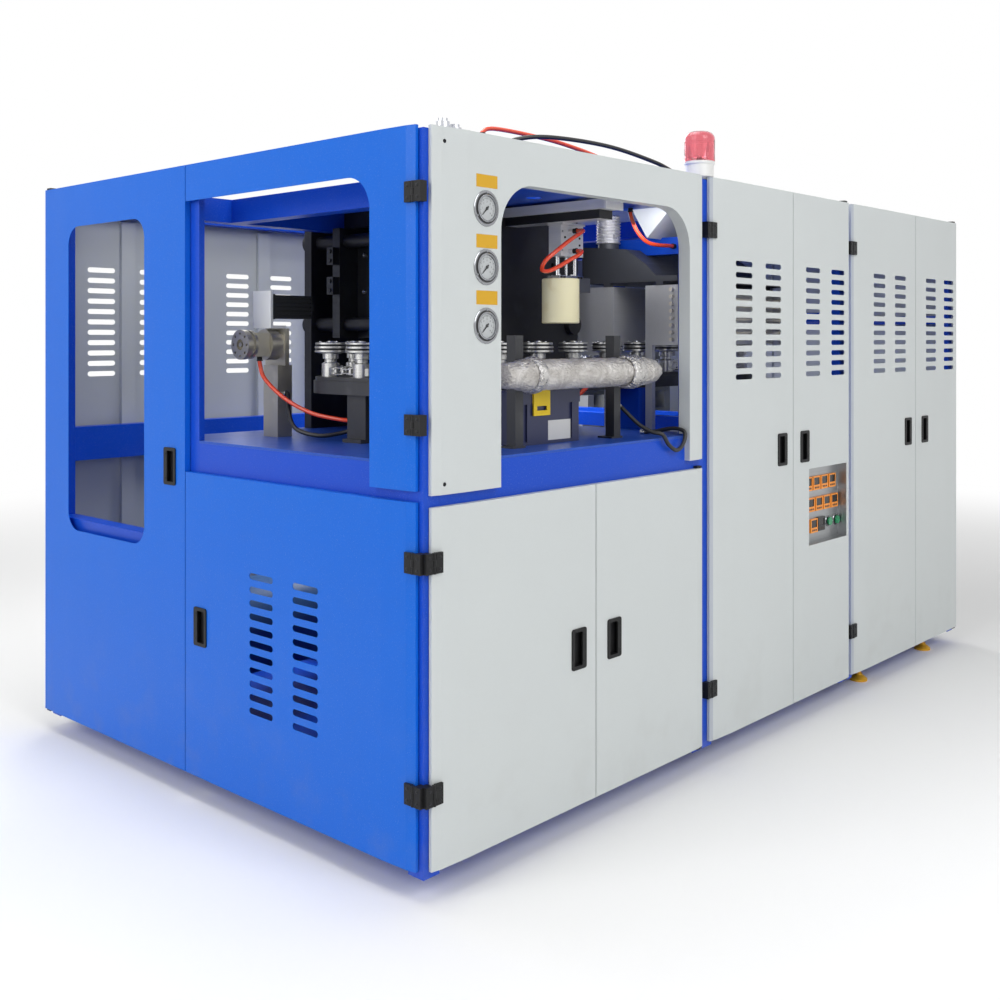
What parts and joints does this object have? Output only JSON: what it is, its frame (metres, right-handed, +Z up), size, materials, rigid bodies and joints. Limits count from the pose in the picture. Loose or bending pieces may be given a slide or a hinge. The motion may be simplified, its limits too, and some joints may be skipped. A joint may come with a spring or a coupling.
{
  "type": "automatic stretch blow moulding machine",
  "caption": "Automatic bottle stretch blow moulding machine with a mandrel chain, heater tunnel, clamp station and sheet-metal covers with hinged doors.",
  "frame": {"origin": "middle of the machine's outline at floor level", "axes": "+X along the white front from the blow station's blue end to the cabinet end, +Y from the front doors to the back, +Z up"},
  "size_m": [3.686, 2.119, 2.244],
  "materials": {
    "blue_frame": "satin",
    "blue_sheet": "satin",
    "bed_blue": "satin",
    "white_sheet": "satin",
    "back_sheet": "satin",
    "foot_yellow": "satin",
    "black_fittings": "matt",
    "gauge_chrome": "polished",
    "gauge_black": "gloss",
    "panel_steel": "brushed",
    "instrument_orange": "gloss",
    "button_green": "gloss",
    "beacon_white": "matt",
    "reflector_mirror": "polished",
    "beacon_red": "clear",
    "clamp_black": "satin",
    "mould_steel": "machined",
    "bar_aluminium": "machined",
    "nylon_cream": "matt",
    "rail_black": "satin",
    "chain_steel": "turned",
    "lagging_foil": "crinkled",
    "navy_paint": "satin",
    "motor_black": "anodised",
    "gearbox_metal": "machined",
    "lamp_ceramic": "satin",
    "hood_grey": "matt",
    "valve_silver": "satin",
    "tank_blue": "satin",
    "switchgear_grey": "matt",
    "tube_red": "gloss",
    "cable_black": "satin"
  },
  "bodies": {
    "machine": {"blow_frame": "blue_frame", "oven_frame": "blue_frame", "cabinet_frame": "blue_frame", "levelling_feet": "foot_yellow", "bed_plate": "bed_blue", "front_arch_cover": "white_sheet", "back_panels": "back_sheet", "end_panel": "white_sheet", "roof_panels": "white_sheet", "fixed_hinge_parts": "black_fittings", "gauge_cases": "gauge_chrome", "control_plate": "panel_steel", "panel_instruments": "instrument_orange", "beacon_base": "beacon_white", "beacon_dome": "beacon_red", "clamp_frame": "clamp_black", "loader_beam": "bar_aluminium", "loader_cylinder": "bar_aluminium", "chain_rail": "rail_black", "mandrel_chain": "chain_steel", "lagged_pipe": "lagging_foil", "bed_posts": "clamp_black", "transformer_box": "navy_paint", "servo_motor": "motor_black", "index_gearbox": "gearbox_metal", "oven_tunnel": "bar_aluminium", "heater_lamps": "lamp_ceramic", "exhaust_hood": "hood_grey", "valve_bank": "valve_silver", "air_receiver": "tank_blue", "switchgear": "switchgear_grey", "red_tubes": "tube_red", "black_cables": "cable_black"},
    "side_upper": {"side_upper_cover": "blue_sheet", "side_upper_hinge_leaves": "black_fittings"},
    "side_lower": {"side_lower_door": "blue_sheet", "side_lower_hardware": "black_fittings"},
    "side_tall": {"side_tall_door": "blue_sheet", "side_tall_pull": "black_fittings"},
    "front_left": {"front_left_door": "white_sheet", "front_left_hardware": "black_fittings"},
    "front_right": {"front_right_door": "white_sheet", "front_right_pull": "black_fittings"},
    "oven_left": {"oven_left_door": "white_sheet", "oven_left_hardware": "black_fittings"},
    "oven_right": {"oven_right_door": "white_sheet", "oven_right_pull": "black_fittings"},
    "cabinet_left": {"cabinet_left_door": "white_sheet", "cabinet_left_hardware": "black_fittings"},
    "cabinet_right": {"cabinet_right_door": "white_sheet", "cabinet_right_pull": "black_fittings"},
    "pointer_1": {"gauge_pointer_1": "gauge_black"},
    "pointer_2": {"gauge_pointer_2": "gauge_black"},
    "pointer_3": {"gauge_pointer_3": "gauge_black"},
    "button_left": {"green_button_left": "button_green"},
    "button_right": {"green_button_right": "button_green"},
    "reflector": {"beacon_reflector": "reflector_mirror"},
    "front_mould": {"front_mould_half": "mould_steel"},
    "rear_mould": {"rear_mould_half": "mould_steel"},
    "loader": {"loader_head": "nylon_cream"}
  },
  "joints": [
    {"name": "side_upper_cover_hinge", "type": "hinge", "parent": "machine", "child": "side_upper", "pos_m": [-1.837, -1.0115, 1.58], "axis": [0, 0, 1], "range_deg": [0, 90]},
    {"name": "side_lower_door_hinge", "type": "hinge", "parent": "machine", "child": "side_lower", "pos_m": [-1.837, -1.0115, 0.58], "axis": [0, 0, 1], "range_deg": [0, 90]},
    {"name": "side_tall_door_hinge", "type": "hinge", "parent": "machine", "child": "side_tall", "pos_m": [-1.826, 1.0505, 1.08], "axis": [0, 0, -1], "range_deg": [0, 90]},
    {"name": "front_left_door_hinge", "type": "hinge", "parent": "machine", "child": "front_left", "pos_m": [-1.797, -1.0515, 0.58], "axis": [0, 0, -1], "range_deg": [0, 90]},
    {"name": "front_right_door_hinge", "type": "hinge", "parent": "machine", "child": "front_right", "pos_m": [-0.487, -1.0405, 0.58], "axis": [0, 0, 1], "range_deg": [0, 90]},
    {"name": "oven_left_door_hinge", "type": "hinge", "parent": "machine", "child": "oven_left", "pos_m": [-0.427, -1.0515, 1.08], "axis": [0, 0, -1], "range_deg": [0, 90]},
    {"name": "oven_right_door_hinge", "type": "hinge", "parent": "machine", "child": "oven_right", "pos_m": [0.636, -1.0405, 1.08], "axis": [0, 0, 1], "range_deg": [0, 90]},
    {"name": "cabinet_left_door_hinge", "type": "hinge", "parent": "machine", "child": "cabinet_left", "pos_m": [0.683, -1.0515, 1.08], "axis": [0, 0, -1], "range_deg": [0, 90]},
    {"name": "cabinet_right_door_hinge", "type": "hinge", "parent": "machine", "child": "cabinet_right", "pos_m": [1.813, -1.0405, 1.08], "axis": [0, 0, 1], "range_deg": [0, 90]},
    {"name": "gauge_needle_1", "type": "hinge", "parent": "machine", "child": "pointer_1", "pos_m": [-1.594, -1.0565, 1.543], "axis": [0, 1, 0], "range_deg": [0, 270], "stiffness_Nm_per_rad": 0.002},
    {"name": "gauge_needle_2", "type": "hinge", "parent": "machine", "child": "pointer_2", "pos_m": [-1.594, -1.0565, 1.707], "axis": [0, 1, 0], "range_deg": [0, 270], "stiffness_Nm_per_rad": 0.002},
    {"name": "gauge_needle_3", "type": "hinge", "parent": "machine", "child": "pointer_3", "pos_m": [-1.594, -1.0565, 1.871], "axis": [0, 1, 0], "range_deg": [0, 270], "stiffness_Nm_per_rad": 0.002},
    {"name": "green_button_left_press", "type": "slide", "parent": "machine", "child": "button_left", "axis": [0, 1, 0], "range_m": [0, 0.004], "stiffness_N_per_m": 400},
    {"name": "green_button_right_press", "type": "slide", "parent": "machine", "child": "button_right", "axis": [0, 1, 0], "range_m": [0, 0.004], "stiffness_N_per_m": 400},
    {"name": "beacon_reflector_turn", "type": "hinge", "parent": "machine", "child": "reflector", "pos_m": [-0.425, -0.9995, 2.16], "axis": [0, 0, 1], "continuous": true},
    {"name": "front_mould_close", "type": "slide", "parent": "machine", "child": "front_mould", "axis": [0, 1, 0], "range_m": [0, 0.08]},
    {"name": "rear_mould_close", "type": "slide", "parent": "machine", "child": "rear_mould", "axis": [0, -1, 0], "range_m": [0, 0.08]},
    {"name": "loader_head_lift", "type": "slide", "parent": "machine", "child": "loader", "axis": [0, 0, 1], "range_m": [-0.055, 0.03]}
  ],
  "couplings": [
    {"joint": "rear_mould_close", "follows": "front_mould_close", "ratio": 1}
  ]
}
